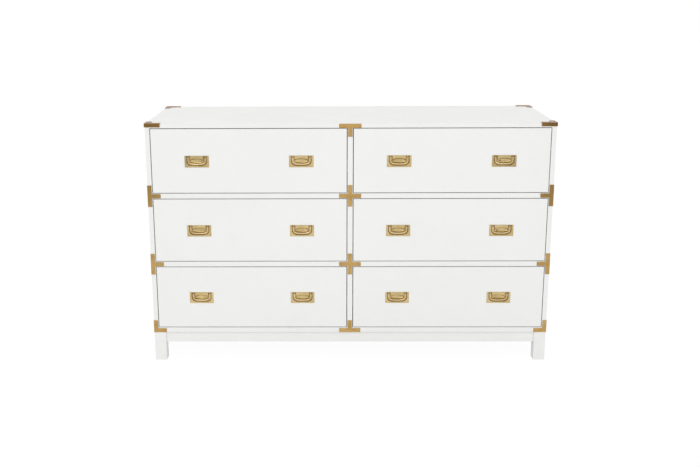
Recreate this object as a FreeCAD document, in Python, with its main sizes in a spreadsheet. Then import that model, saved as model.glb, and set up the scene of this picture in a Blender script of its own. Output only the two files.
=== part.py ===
# Campaign chest: a lacquered case of six inset drawers on a leg base, with brass straps and flush pulls.
#
# Millimetres. +X is to the right, +Y to the back and +Z up. The origin is on the floor, under the middle of
# the case. Every length is a cell of the sheet "sizes" or is worked out from those cells, and every object is
# bound to them by expression. A repeated piece is drawn once about its own origin and then placed.
import FreeCAD, Part
import math
import operator
import os
from types import SimpleNamespace

import Sketcher

# name, millimetres, what it is
SIZES = [
    ("case_width", 1450, "over the side panels"),
    ("case_depth", 505, "front edge to back edge"),
    ("case_height", 886.5, "floor to top panel"),
    ("base_height", 111, "floor to the underside of the case"),
    ("top_thick", 15, "top panel"),
    ("side_thick", 16, "side panel"),
    ("partition_thick", 19, "centre partition"),
    ("rail_thick", 18.5, "drawer rail and bottom board"),
    ("rail_depth", 60, "drawer rail, front to back"),
    ("back_thick", 6, "back panel"),
    ("back_rebate", 8, "how far the back panel reaches into each side"),
    ("leg_width", 42, "square leg"),
    ("apron_height", 39.5, "apron"),
    ("apron_thick", 19, "apron"),
    ("apron_setback", 6, "apron face behind the leg face"),
    ("brace_width", 24, "corner brace, across"),
    ("brace_height", 28, "corner brace"),
    ("brace_clear", 2, "corner brace past the leg"),
    ("glide_height", 2, "glide under the leg"),
    ("glide_radius", 12, "glide under the leg"),
    ("front_gap", 2.8, "reveal round a drawer front"),
    ("front_thick", 18, "drawer front"),
    ("box_thick", 12, "drawer side, box front and box back"),
    ("box_height", 180, "drawer side"),
    ("box_length", 460, "drawer side, front to back"),
    ("box_rise", 12, "drawer side above the lower edge of the front"),
    ("bottom_thick", 6, "drawer bottom"),
    ("bottom_rise", 10, "drawer bottom above the lower edge of the side"),
    ("groove_depth", 5, "how far the drawer bottom reaches into the sides"),
    ("tail_slope", 2, "how much a dovetail widens on each flank"),
    ("slide_gap", 12.7, "drawer side to case, filled by the slide"),
    ("slide_length", 450, "slide member"),
    ("slide_height", 45, "case member of the slide"),
    ("slide_metal", 1.2, "slide sheet"),
    ("slide_play", 0.4, "drawer member inside case member"),
    ("slide_tip_gap", 0.6, "flange tip to the other member's web"),
    ("slide_start", 20, "slide behind the case front"),
    ("slide_drop", 20, "slide axis below the middle of the drawer"),
    ("strap_thick", 1.2, "brass strap"),
    ("strap_width", 15.5, "strap arm"),
    ("edge_strap", 14.5, "strap on the edge of a side panel"),
    ("strap_span", 78.5, "cross and tee, end to end"),
    ("strap_stem", 46.5, "stem of a tee, and each arm of a bottom corner"),
    ("tee_arm", 46, "side tee, edge of the case to the end of its arm"),
    ("cap_thick", 2.5, "corner cap"),
    ("cap_span", 53.7, "corner cap, each arm"),
    ("cap_width", 17, "corner cap, width of an arm on top"),
    ("cap_skirt", 11, "corner cap, height below the top face"),
    ("cap_sweep", 18, "corner cap, radius of its inner curve"),
    ("pull_spacing", 371.5, "pull to pull on one drawer"),
    ("pull_drop", 1.5, "pull below the middle of the drawer front"),
    ("plate_width", 86, "pull plate"),
    ("plate_height", 41.3, "pull plate"),
    ("plate_thick", 2, "pull plate"),
    ("plate_proud", 1, "pull plate in front of the drawer front"),
    ("plate_nip", 1.2, "nipped corner of the pull plate"),
    ("rim_side", 6.5, "flange beside the channel of the bail"),
    ("rim_head", 1.2, "flange above each end of the channel"),
    ("rim_foot", 5.1, "flange below the channel"),
    ("channel_width", 12.5, "channel that the bail lies in"),
    ("channel_radius", 18, "outer bend of the channel"),
    ("channel_depth", 4.6, "channel, behind the face of the plate"),
    ("cup_half_width", 28.5, "oval finger cup, from its middle to each end"),
    ("cup_half_height", 10.5, "oval finger cup, from its middle to its top"),
    ("cup_end", 5.5, "oval finger cup, radius of each end"),
    ("cup_depth", 10, "finger cup, behind the face of the plate"),
    ("shell_wall", 2, "metal round the channel"),
    ("cup_wall", 1.2, "metal round the finger cup"),
    ("fit_gap", 0.3, "recess in the wood round the casting"),
    ("bail_half_thick", 2.1, "bail bar, from its middle to each flat"),
    ("bail_swell", 2.6, "middle of the grip, from its middle to its upper and lower flat"),
    ("bail_bevel", 1.2, "long edges of the bail bar"),
    ("bail_bow", 1.2, "middle of the grip below its ends"),
    ("bail_end", 1.4, "arm above its pivot"),
    ("pivot_height", 12.1, "pivot above the middle of the plate"),
    ("pivot_depth", 0.6, "pivot behind the drawer front"),
    ("pin_radius", 1, "pivot pin"),
    ("pin_play", 0.08, "pivot pin in its hole"),
    ("pin_reach", 1.4, "pivot pin into the wall of the channel"),
]
ROWS = ("bottom", "middle", "top")
COLUMNS = (("left", -1), ("right", 1))
TAILS = 3  # dovetails at each corner of a drawer box
TAIL_SHARE = 0.56  # of the pitch, taken by the middle of a tail
PIN_FLATS = 8  # the pivot pins and their holes are drawn with flats
BEND_RUNS = 3  # mitres in each bend of the bail

doc = FreeCAD.newDocument("campaign_chest")
sheet = doc.addObject("Spreadsheet::Sheet", "sizes")
for row, (name, amount, note) in enumerate(SIZES, start=1):
    sheet.set(f"A{row}", note)
    sheet.set(f"B{row}", str(amount))
    sheet.setAlias(f"B{row}", name)
doc.recompute()


class Size:
    """A length that carries both its number and the expression that it comes from."""

    def __init__(self, number, text):
        self.number = number
        self.text = text

    def __add__(self, other):
        return combine("+", operator.add, self, other)

    def __radd__(self, other):
        return combine("+", operator.add, other, self)

    def __sub__(self, other):
        return combine("-", operator.sub, self, other)

    def __rsub__(self, other):
        return combine("-", operator.sub, other, self)

    def __mul__(self, other):
        return combine("*", operator.mul, self, other)

    def __rmul__(self, other):
        return combine("*", operator.mul, other, self)

    def __truediv__(self, other):
        return combine("/", operator.truediv, self, other)

    def __neg__(self):
        return combine("-", operator.sub, 0, self)


def sized(value):
    """A plain number as a Size, and a Size as it is."""
    return value if isinstance(value, Size) else Size(float(value), repr(float(value)))


def combine(sign, operation, left, right):
    left = sized(left)
    right = sized(right)
    return Size(operation(left.number, right.number), f"({left.text} {sign} {right.text})")


s = SimpleNamespace(**{name: Size(float(sheet.get(name)), f"sizes.{name}") for name, _, _ in SIZES})

# Planes of the case
side_out = s.case_width / 2
side_in = side_out - s.side_thick
front = -s.case_depth / 2
back = s.case_depth / 2
back_in = back - s.back_thick
half_stile = s.partition_thick / 2
floor_top = s.base_height + s.rail_thick
top_under = s.case_height - s.top_thick

# One drawer opening, its front and its box, about the middle of the opening at the case front
opening_width = side_in - half_stile
opening_height = (top_under - floor_top - 2 * s.rail_thick) / 3
opening_middle = half_stile + opening_width / 2
row_pitch = opening_height + s.rail_thick
front_width = opening_width - 2 * s.front_gap
front_height = opening_height - 2 * s.front_gap
box_out = opening_width / 2 - s.slide_gap
box_in = box_out - s.box_thick
box_low = -front_height / 2 + s.box_rise
box_front = s.front_thick
box_back = s.front_thick + s.box_length
slide_reach = s.slide_gap - s.slide_metal - s.slide_tip_gap

# One pull, about the middle of its plate. The middle line of the bail is the middle of its channel.
channel_out = s.plate_width / 2 - s.rim_side
channel_in = channel_out - s.channel_width
channel_top = s.plate_height / 2 - s.rim_head
channel_low = s.rim_foot - s.plate_height / 2
tongue_low = channel_low + s.channel_width
bail_wide = channel_out - s.channel_width / 2
bail_bend = s.channel_radius - s.channel_width / 2
bail_head = s.pivot_height + s.bail_end
grip_line = channel_low + s.channel_width / 2
pin_end = channel_out + s.pin_reach


# ---------------------------------------------------------------- helpers
def bind(item, path, value):
    item.setExpression(path, sized(value).text)


def place(item, x=0, y=0, z=0):
    """Puts an object's own origin at a point of the frame it is built in."""
    for axis, value in (("x", x), ("y", y), ("z", z)):
        bind(item, f"Placement.Base.{axis}", value)
    return item


def board(label, low, high):
    """A rectangular board between two corners."""
    made = doc.addObject("Part::Box", label)
    for path, start, end in zip(("Length", "Width", "Height"), low, high):
        bind(made, path, sized(end) - start)
    return place(made, *low)


def compound(label, members):
    """Several separate solids, or one, as a single named object."""
    made = doc.addObject("Part::Compound", label)
    made.Links = members
    return made


def cut(label, base, tool):
    made = doc.addObject("Part::Cut", label)
    made.Base = base
    made.Tool = tool
    return made


def fuse(label, members):
    made = doc.addObject("Part::MultiFuse", label)
    made.Shapes = members
    made.Refine = True
    return made


def mirror(label, source, normal):
    """The same piece on the other side of a plane through the origin."""
    made = doc.addObject("Part::Mirroring", label)
    made.Source = source
    made.Normal = normal
    return made


LEFT_RIGHT = FreeCAD.Vector(1, 0, 0)
FRONT_BACK = FreeCAD.Vector(0, 1, 0)


def four_corners(label, piece):
    """A piece at the front left and its three mirror images, as one group."""
    right = mirror(f"{label}_right", piece, LEFT_RIGHT)
    front_pair = compound(f"{label}_front_pair", [piece, right])
    back_pair = mirror(f"{label}_back_pair", front_pair, FRONT_BACK)
    return compound(label, [front_pair, back_pair])


def sketch(body, role, name, lift=0):
    """A sketch on one of the body's own planes, lifted along that plane's normal."""
    made = body.newObject("Sketcher::SketchObject", name)
    plane = next(item for item in body.Origin.OriginFeatures if item.Role == role)
    made.AttachmentSupport = [(plane, "")]
    made.MapMode = "FlatFace"
    bind(made, "AttachmentOffset.Base.z", lift)
    return made


def drive(drawing, constraint, value):
    """Adds a dimension to a sketch and binds it."""
    index = drawing.addConstraint(Sketcher.Constraint(*constraint, sized(value).number))
    bind(drawing, f"Constraints[{index}]", value)


def polygon(drawing, corners):
    """Straight edges through the corners, each corner held at its place."""
    points = [FreeCAD.Vector(sized(x).number, sized(y).number, 0) for x, y in corners]
    following = points[1:] + points[:1]
    for start, end in zip(points, following):
        drawing.addGeometry(Part.LineSegment(start, end), False)
    for edge, (x, y) in enumerate(corners):
        drawing.addConstraint(Sketcher.Constraint("Coincident", edge, 2, (edge + 1) % len(corners), 1))
        drive(drawing, ("DistanceX", -1, 1, edge, 1), x)
        drive(drawing, ("DistanceY", -1, 1, edge, 1), y)


def rectangle(drawing, half_width, low, high):
    """An upright rectangle about the middle."""
    polygon(drawing, [(-half_width, low), (half_width, low), (half_width, high), (-half_width, high)])


def round_bottom(drawing, half_width, low, high, radius):
    """An upright outline about the middle, square above and with a round bend at each lower corner."""
    wide = half_width.number
    bend = radius.number
    low_line = low.number
    bend_line = low_line + bend
    high_line = high.number
    corners = {
        "high_left": FreeCAD.Vector(-wide, high_line, 0),
        "high_right": FreeCAD.Vector(wide, high_line, 0),
        "right": FreeCAD.Vector(wide, bend_line, 0),
        "low_right": FreeCAD.Vector(wide - bend, low_line, 0),
        "low_left": FreeCAD.Vector(bend - wide, low_line, 0),
        "left": FreeCAD.Vector(-wide, bend_line, 0),
    }
    up = FreeCAD.Vector(0, 0, 1)
    right_circle = Part.Circle(FreeCAD.Vector(wide - bend, bend_line, 0), up, bend)
    left_circle = Part.Circle(FreeCAD.Vector(bend - wide, bend_line, 0), up, bend)
    right_bend = Part.ArcOfCircle(right_circle, 1.5 * math.pi, 2 * math.pi)
    left_bend = Part.ArcOfCircle(left_circle, math.pi, 1.5 * math.pi)
    for edge in (
        Part.LineSegment(corners["high_left"], corners["high_right"]),
        Part.LineSegment(corners["high_right"], corners["right"]),
        right_bend,
        Part.LineSegment(corners["low_right"], corners["low_left"]),
        left_bend,
        Part.LineSegment(corners["left"], corners["high_left"]),
    ):
        drawing.addGeometry(edge, False)
    for rule in (
        ("Coincident", 0, 2, 1, 1),
        ("Coincident", 5, 2, 0, 1),
        ("Tangent", 1, 2, 2, 2),
        ("Tangent", 2, 1, 3, 1),
        ("Tangent", 3, 2, 4, 2),
        ("Tangent", 4, 1, 5, 1),
        ("Horizontal", 0),
        ("Horizontal", 3),
        ("Vertical", 1),
        ("Vertical", 5),
    ):
        drawing.addConstraint(Sketcher.Constraint(*rule))
    drive(drawing, ("Radius", 2), radius)
    drive(drawing, ("Radius", 4), radius)
    drive(drawing, ("DistanceY", -1, 1, 0, 1), high)
    drive(drawing, ("DistanceX", -1, 1, 1, 1), half_width)
    drive(drawing, ("DistanceY", -1, 1, 3, 1), low)
    drive(drawing, ("DistanceX", -1, 1, 5, 1), -half_width)


def oval(drawing, half_width, half_height, end_radius):
    """An oval about the middle, of two long arcs that run into a tight arc at each end."""
    wide = half_width - end_radius
    rise = half_height - end_radius
    long_radius = (wide * wide + rise * rise) / (2 * rise) + end_radius
    long_drop = long_radius - half_height
    meeting = math.atan2(long_drop.number, wide.number)
    up = FreeCAD.Vector(0, 0, 1)
    for x, z, radius, start, end in (
        (wide, 0, end_radius, -meeting, meeting),
        (0, -long_drop, long_radius, meeting, math.pi - meeting),
        (-wide, 0, end_radius, math.pi - meeting, math.pi + meeting),
        (0, long_drop, long_radius, math.pi + meeting, 2 * math.pi - meeting),
    ):
        centre = FreeCAD.Vector(sized(x).number, sized(z).number, 0)
        drawing.addGeometry(Part.ArcOfCircle(Part.Circle(centre, up, radius.number), start, end), False)
    for edge in range(4):
        drawing.addConstraint(Sketcher.Constraint("Tangent", edge, 2, (edge + 1) % 4, 1))
    for edge, side in ((0, 1), (2, -1)):
        drive(drawing, ("Radius", edge), end_radius)
        drive(drawing, ("DistanceX", -1, 1, edge, 3), side * wide)
        drive(drawing, ("DistanceY", -1, 1, edge, 3), 0)
    drive(drawing, ("DistanceY", -1, 1, 1, 3), -long_drop)
    drive(drawing, ("DistanceY", -1, 1, 3, 3), long_drop)


def flats(radius, x, y):
    """The corners of a pin or a hole with flat sides, about a centre."""
    turns = [2 * math.pi * (flat + 0.5) / PIN_FLATS for flat in range(PIN_FLATS)]
    return [(x + radius * math.cos(turn), y + radius * math.sin(turn)) for turn in turns]


def pad(body, drawing, length, reverse=False):
    made = body.newObject("PartDesign::Pad", f"{drawing.Name}_pad")
    made.Profile = drawing
    made.Reversed = reverse
    bind(made, "Length", length)
    return made


def pocket(body, drawing, depth):
    """Cuts against the sketch's normal, into the body."""
    made = body.newObject("PartDesign::Pocket", f"{drawing.Name}_pocket")
    made.Profile = drawing
    bind(made, "Length", depth)


def new_body(name):
    return doc.addObject("PartDesign::Body", name)


# ---------------------------------------------------------------- case
def make_case():
    """Panels, partition and rails. The back panel lies in rebates of the sides and covers the other edges."""
    top = board("top_panel", (-side_out, front, top_under), (side_out, back, s.case_height))
    bottom = board("bottom_panel", (-side_in, front, s.base_height), (side_in, back_in, floor_top))
    partition = board("centre_partition", (-half_stile, front, floor_top), (half_stile, back_in, top_under))
    back_reach = side_in + s.back_rebate
    back_panel = board("back_panel", (-back_reach, back_in, s.base_height), (back_reach, back, top_under))
    nodes = [top, bottom, partition, back_panel]
    for side, sign in COLUMNS:
        inner = sign * side_in if sign > 0 else -side_out
        outer = side_out if sign > 0 else -side_in
        blank = board(f"side_blank_{side}", (inner, front, s.base_height), (outer, back, top_under))
        rebate_low = side_in if sign > 0 else -back_reach
        rebate_high = back_reach if sign > 0 else -side_in
        rebate = board(
            f"side_rebate_{side}", (rebate_low, back_in, s.base_height), (rebate_high, back, top_under)
        )
        nodes.append(cut(f"side_panel_{side}", blank, rebate))
    return nodes


def make_rails():
    """Rails between the drawers at the front and at the back, two heights in each column."""
    nodes = []
    for label, y_low in (("front_rails", front), ("rear_rails", back_in - s.rail_depth)):
        rails = []
        for side, sign in COLUMNS:
            x_low = half_stile if sign > 0 else -side_in
            for level in (1, 2):
                z_low = floor_top + level * opening_height + (level - 1) * s.rail_thick
                low = (x_low, y_low, z_low)
                high = (x_low + opening_width, y_low + s.rail_depth, z_low + s.rail_thick)
                rails.append(board(f"{label}_{side}_{level}", low, high))
        nodes.append(compound(label, rails))
    return nodes


# ---------------------------------------------------------------- base
def make_base():
    """Four square legs with glides, aprons set back between them, and a brace across each inner corner."""
    leg_in = side_out - s.leg_width
    leg_back = front + s.leg_width
    leg = board("leg", (-side_out, front, s.glide_height), (-leg_in, leg_back, s.base_height))
    glide = doc.addObject("Part::Cylinder", "glide")
    bind(glide, "Radius", s.glide_radius)
    bind(glide, "Height", s.glide_height)
    place(glide, -side_out + s.leg_width / 2, front + s.leg_width / 2, 0)

    apron_low = s.base_height - s.apron_height
    apron_out = front + s.apron_setback
    apron_in = apron_out + s.apron_thick
    front_apron = board("apron_front", (-leg_in, apron_out, apron_low), (leg_in, apron_in, s.base_height))
    side_apron_out = -side_out + s.apron_setback
    side_apron_in = side_apron_out + s.apron_thick
    side_apron = board(
        "apron_left", (side_apron_out, leg_back, apron_low), (side_apron_in, -leg_back, s.base_height)
    )
    aprons = [
        front_apron,
        mirror("apron_back", front_apron, FRONT_BACK),
        side_apron,
        mirror("apron_right", side_apron, LEFT_RIGHT),
    ]

    near = 2 * s.leg_width - s.apron_setback - s.apron_thick + s.brace_clear
    far = near + s.brace_width * math.sqrt(2)
    brace = new_body("brace")
    outline = sketch(brace, "XY_Plane", "brace_outline", s.base_height - s.brace_height)
    polygon(
        outline,
        [
            (-side_out + near, apron_in),
            (-side_out + far, apron_in),
            (side_apron_in, front + far),
            (side_apron_in, front + near),
        ],
    )
    pad(brace, outline, s.brace_height)
    return [
        four_corners("legs", leg),
        four_corners("leg_glides", glide),
        compound("aprons", aprons),
        four_corners("corner_braces", brace),
    ]


# ---------------------------------------------------------------- straps
def face_plate(body, name, corners, thick=s.strap_thick):
    """A flat plate on the case front, its outline in X and Z."""
    outline = sketch(body, "XZ_Plane", name, s.case_depth / 2)
    polygon(outline, corners)
    pad(body, outline, thick)


def flank_plate(body, name, corners, thick=s.strap_thick):
    """A flat plate on the left side of the case, its outline in Y and Z."""
    outline = sketch(body, "YZ_Plane", name, -side_out - thick)
    polygon(outline, corners)
    pad(body, outline, thick)


def make_cross(level):
    """A cross of two straps where a rail meets the centre stile."""
    middle = floor_top + level * opening_height + (level - 0.5) * s.rail_thick
    arm = s.strap_width / 2
    reach = s.strap_span / 2
    body = new_body(f"cross_{level}")
    face_plate(
        body,
        f"cross_outline_{level}",
        [
            (reach, middle - arm),
            (reach, middle + arm),
            (arm, middle + arm),
            (arm, middle + reach),
            (-arm, middle + reach),
            (-arm, middle + arm),
            (-reach, middle + arm),
            (-reach, middle - arm),
            (-arm, middle - arm),
            (-arm, middle - reach),
            (arm, middle - reach),
            (arm, middle - arm),
        ],
    )
    return body


def make_centre_tee(name, edge, sign):
    """A tee on the centre stile: its bar lies along the edge, and its stem points up (1) or down (-1)."""
    arm = s.strap_width / 2
    reach = s.strap_span / 2
    inner = edge + sign * s.strap_width
    tip = edge + sign * s.strap_stem
    body = new_body(name)
    face_plate(
        body,
        f"{name}_outline",
        [
            (-reach, edge),
            (reach, edge),
            (reach, inner),
            (arm, inner),
            (arm, tip),
            (-arm, tip),
            (-arm, inner),
            (-reach, inner),
        ],
    )
    return body


def make_side_tee(level):
    """A tee on the left front edge, level with a rail, with a flange folded back along the side."""
    middle = floor_top + level * opening_height + (level - 0.5) * s.rail_thick
    outer = -side_out - s.strap_thick
    strap = -side_out + s.edge_strap
    tip = -side_out + s.tee_arm
    arm = s.strap_width / 2
    reach = s.strap_span / 2
    body = new_body(f"side_tee_{level}")
    face_plate(
        body,
        f"side_tee_face_{level}",
        [
            (outer, middle - reach),
            (strap, middle - reach),
            (strap, middle - arm),
            (tip, middle - arm),
            (tip, middle + arm),
            (strap, middle + arm),
            (strap, middle + reach),
            (outer, middle + reach),
        ],
    )
    flank_plate(
        body,
        f"side_tee_flank_{level}",
        [
            (front, middle - reach),
            (front + s.strap_width, middle - reach),
            (front + s.strap_width, middle + reach),
            (front, middle + reach),
        ],
    )
    return body


def make_bottom_corner():
    """An ell at the lower left front corner, and the same ell folded back along the side."""
    low = s.base_height
    high = low + s.strap_stem
    shelf = low + s.strap_width
    outer = -side_out - s.strap_thick
    strap = -side_out + s.edge_strap
    tip = -side_out + s.tee_arm
    body = new_body("bottom_corner")
    face_plate(
        body,
        "bottom_corner_face",
        [(outer, low), (tip, low), (tip, shelf), (strap, shelf), (strap, high), (outer, high)],
    )
    fold = front + s.edge_strap
    far = front + s.tee_arm
    flank_plate(
        body,
        "bottom_corner_flank",
        [(front, low), (far, low), (far, shelf), (fold, shelf), (fold, high), (front, high)],
    )
    return body


def make_corner_cap():
    """A cap on the upper left front corner: an ell on top with a swept inner edge, and two skirts."""
    outer_x = -side_out - s.cap_thick
    outer_y = front - s.cap_thick
    far_x = -side_out + s.cap_span
    far_y = front + s.cap_span
    in_x = -side_out + s.cap_width
    in_y = front + s.cap_width
    skirt = s.case_height - s.cap_skirt
    body = new_body("corner_cap")
    top = sketch(body, "XY_Plane", "cap_top", s.case_height)
    polygon(
        top,
        [(outer_x, outer_y), (far_x, outer_y), (far_x, in_y), (in_x, in_y), (in_x, far_y), (outer_x, far_y)],
    )
    pad(body, top, s.cap_thick)
    face_plate(
        body,
        "cap_face",
        [(outer_x, skirt), (far_x, skirt), (far_x, s.case_height), (outer_x, s.case_height)],
        s.cap_thick,
    )
    flank_plate(
        body,
        "cap_flank",
        [(front, skirt), (far_y, skirt), (far_y, s.case_height), (front, s.case_height)],
        s.cap_thick,
    )
    doc.recompute()
    plain = body.Tip
    sweep = body.newObject("PartDesign::Fillet", "cap_sweep")
    inner = FreeCAD.Vector(in_x.number, in_y.number, (s.case_height + s.cap_thick / 2).number)
    sweep.Base = (plain, [edge_at(plain.Shape, inner)])
    bind(sweep, "Radius", s.cap_sweep)
    body.Tip = sweep
    return body


def edge_at(shape, point):
    """The name of the edge whose middle is at the point."""
    distances = [edge.CenterOfMass.distanceToPoint(point) for edge in shape.Edges]
    return f"Edge{distances.index(min(distances)) + 1}"


def make_straps():
    side_tees = compound("side_tees_left", [make_side_tee(level) for level in (1, 2)])
    bottom_corner = make_bottom_corner()
    return [
        four_corners("top_corner_caps", make_corner_cap()),
        four_corners("bottom_corner_straps", bottom_corner),
        compound("side_tee_straps", [side_tees, mirror("side_tees_right", side_tees, LEFT_RIGHT)]),
        compound("centre_cross_straps", [make_cross(level) for level in (1, 2)]),
        compound(
            "centre_tee_straps",
            [
                make_centre_tee("top_tee", s.case_height, -1),
                make_centre_tee("bottom_tee", s.base_height, 1),
            ],
        ),
    ]


# ---------------------------------------------------------------- pulls
def plate_outline(drawing):
    """The flange of the pull, with its corners nipped off."""
    wide = s.plate_width / 2
    high = s.plate_height / 2
    near = wide - s.plate_nip
    short = high - s.plate_nip
    polygon(
        drawing,
        [
            (-near, -high),
            (near, -high),
            (wide, -short),
            (wide, short),
            (near, high),
            (-near, high),
            (-wide, short),
            (-wide, -short),
        ],
    )


def casting_steps(grow):
    """The square back of the casting, round the channel and round the cup, with room to spare if asked."""
    shell = s.shell_wall + grow
    cup = s.cup_wall + grow
    head = s.plate_height / 2 - s.fit_gap + grow
    cup_high = s.cup_half_height + cup
    return (
        ("channel", (channel_out + shell, channel_low - shell, head), s.channel_depth + cup),
        ("cup", (s.cup_half_width + cup, -cup_high, cup_high), s.cup_depth + cup),
    )


def make_plate():
    """A cast pull plate: a flange, the channel of the bail round a tongue, an oval finger cup that cuts the
    foot of the tongue away, and a pivot hole in the wall of the channel on each side."""
    body = new_body("pull_plate")
    flange = sketch(body, "XZ_Plane", "plate_flange", s.plate_proud)
    plate_outline(flange)
    pad(body, flange, s.plate_thick, reverse=True)
    for name, extents, depth in casting_steps(0):
        drawing = sketch(body, "XZ_Plane", f"plate_{name}_back", s.plate_proud)
        rectangle(drawing, *extents)
        pad(body, drawing, depth, reverse=True)

    channel = sketch(body, "XZ_Plane", "plate_channel", s.plate_proud)
    round_bottom(channel, channel_out, channel_low, channel_top, s.channel_radius)
    pocket(body, channel, s.channel_depth)
    tongue = sketch(body, "XZ_Plane", "plate_tongue", s.plate_proud)
    rectangle(tongue, channel_in, tongue_low, channel_top)
    pad(body, tongue, s.channel_depth, reverse=True)
    cup = sketch(body, "XZ_Plane", "plate_cup", s.plate_proud)
    oval(cup, s.cup_half_width, s.cup_half_height, s.cup_end)
    pocket(body, cup, s.cup_depth)

    hole_radius = (s.pin_radius + s.pin_play) / math.cos(math.pi / PIN_FLATS)
    hole_depth = s.pin_reach + s.fit_gap
    for name, outer_end in (("left", -channel_out), ("right", channel_out + hole_depth)):
        hole = sketch(body, "YZ_Plane", f"pivot_hole_{name}", outer_end)
        polygon(hole, flats(hole_radius, s.pivot_depth, s.pivot_height))
        pocket(body, hole, hole_depth)
    return body


def bail_outline():
    """The right half of a bail's outline: over the grip, up the inside of the arm and down its outside. Its
    bends are mitred runs that touch the arcs of the bar's inside and outside."""
    bar = s.bail_half_thick
    step = math.pi / 2 / BEND_RUNS
    grip_end = bail_wide - bail_bend
    bend_line = grip_line + bail_bend
    turns = [(index + 0.5) * step for index in range(BEND_RUNS)]

    def mitres(radius):
        reach = radius / math.cos(step / 2)
        return [(grip_end + reach * math.sin(turn), bend_line - reach * math.cos(turn)) for turn in turns]

    middle = grip_line - s.bail_bow
    upper = [(sized(0), middle + s.bail_swell), (grip_end, grip_line + bar)] + mitres(bail_bend - bar)
    lower = [(sized(0), middle - s.bail_swell), (grip_end, grip_line - bar)] + mitres(bail_bend + bar)
    return upper + [(bail_wide - bar, bail_head), (bail_wide + bar, bail_head)] + lower[::-1]


def make_bail():
    """A bail: two arms with a pin at the head of each, a bend below, and a bowed grip that swells midway. The
    bar is flat in front and behind, and its edges are bevelled."""
    half = bail_outline()
    body = new_body("bail")
    outline = sketch(body, "XZ_Plane", "bail_outline", -s.pivot_depth)
    polygon(outline, half + [(-x, z) for x, z in half[-2:0:-1]])
    bar = pad(body, outline, 2 * s.bail_half_thick)
    bar.Midplane = True
    doc.recompute()
    bevel = body.newObject("PartDesign::Chamfer", "bail_bevel")
    depths = [(s.pivot_depth + side * s.bail_half_thick).number for side in (-1, 1)]
    bevel.Base = (bar, [face_at(bar.Shape, depth) for depth in depths])
    bind(bevel, "Size", s.bail_bevel)
    body.Tip = bevel
    for name, inner_end in (("left", -pin_end), ("right", bail_wide)):
        pin = sketch(body, "YZ_Plane", f"bail_pin_{name}", inner_end)
        polygon(pin, flats(s.pin_radius, s.pivot_depth, s.pivot_height))
        pad(body, pin, pin_end - bail_wide)
    return body


def face_at(shape, depth):
    """The name of the flat face that lies square across Y at a depth."""
    distances = [abs(face.BoundBox.YMin - depth) + face.BoundBox.YLength for face in shape.Faces]
    return f"Face{distances.index(min(distances)) + 1}"


# ---------------------------------------------------------------- drawers
def make_drawer_front():
    """An inset front with a stepped recess behind each pull: for its flange, its channel and its cup."""
    blank = board(
        "drawer_front_blank",
        (-front_width / 2, 0, -front_height / 2),
        (front_width / 2, s.front_thick, front_height / 2),
    )
    recess = new_body("pull_recess")
    half_height = s.plate_height / 2 + s.fit_gap
    flange = ("flange", (s.plate_width / 2 + s.fit_gap, -half_height, half_height), s.plate_thick)
    for name, extents, depth in (flange,) + casting_steps(s.fit_gap):
        drawing = sketch(recess, "XZ_Plane", f"recess_{name}", s.plate_proud)
        rectangle(drawing, *extents)
        pad(recess, drawing, depth, reverse=True)
    return cut("drawer_front_piece", blank, pair("pull_recesses", recess))


def pair(label, piece):
    """Two of a piece, at the two pulls of a drawer."""
    copies = []
    for side, sign in COLUMNS:
        copy = compound(f"{label}_{side}", [piece])
        copies.append(place(copy, sign * s.pull_spacing / 2, 0, -s.pull_drop))
    return compound(label, copies)


def make_tails():
    """The dovetails of one drawer box, as wedges that widen towards the ends of the sides."""
    pitch = s.box_height / TAILS
    root = pitch * TAIL_SHARE / 2 - s.tail_slope / 2
    tip = root + s.tail_slope
    wedges = []
    for side, sign in COLUMNS:
        for end, wide_y, narrow_y in (
            ("front", box_front, box_front + s.box_thick),
            ("back", box_back, box_back - s.box_thick),
        ):
            for index in range(TAILS):
                middle = box_low + (index + 0.5) * pitch
                wedge = doc.addObject("Part::Wedge", f"tail_{side}_{end}_{index}")
                first, second = (tip, root) if end == "front" else (root, tip)
                start, stop = (wide_y, narrow_y) if end == "front" else (narrow_y, wide_y)
                inner = box_in if sign > 0 else -box_out
                outer = box_out if sign > 0 else -box_in
                for path, value in (
                    ("Xmin", inner),
                    ("Xmax", outer),
                    ("X2min", inner),
                    ("X2max", outer),
                    ("Ymin", start),
                    ("Ymax", stop),
                    ("Zmin", middle - first),
                    ("Zmax", middle + first),
                    ("Z2min", middle - second),
                    ("Z2max", middle + second),
                ):
                    bind(wedge, path, value)
                wedges.append((side, wedge))
    return wedges


def make_drawer_box():
    """Two sides with dovetails, a box front and a box back, all grooved for the bottom."""
    box_high = box_low + s.box_height
    groove_low = box_low + s.bottom_rise
    reach = box_in + s.groove_depth
    first = box_front + s.box_thick
    last = box_back - s.box_thick
    groove = board(
        "bottom_groove",
        (-reach, first - s.groove_depth, groove_low),
        (reach, last + s.groove_depth, groove_low + s.bottom_thick),
    )
    tails = make_tails()
    boards = []
    for side, sign in COLUMNS:
        low_x = box_in if sign > 0 else -box_out
        middle = board(f"box_side_{side}", (low_x, first, box_low), (low_x + s.box_thick, last, box_high))
        own = [wedge for owner, wedge in tails if owner == side]
        whole = fuse(f"box_side_tailed_{side}", [middle] + own)
        boards.append(cut(f"box_side_grooved_{side}", whole, groove))
    sockets = compound("tail_sockets", [wedge for _, wedge in tails])
    for end, y_low in (("front", box_front), ("back", last)):
        blank = board(
            f"box_{end}_blank", (-box_out, y_low, box_low), (box_out, y_low + s.box_thick, box_high)
        )
        pinned = cut(f"box_{end}_pinned", blank, sockets)
        boards.append(cut(f"box_{end}_grooved", pinned, groove))
    bottom = board(
        "drawer_bottom_piece",
        (-reach + s.fit_gap, first - s.groove_depth + s.fit_gap, groove_low),
        (reach - s.fit_gap, last + s.groove_depth - s.fit_gap, groove_low + s.bottom_thick),
    )
    return compound("drawer_box_piece", boards), bottom


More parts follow.
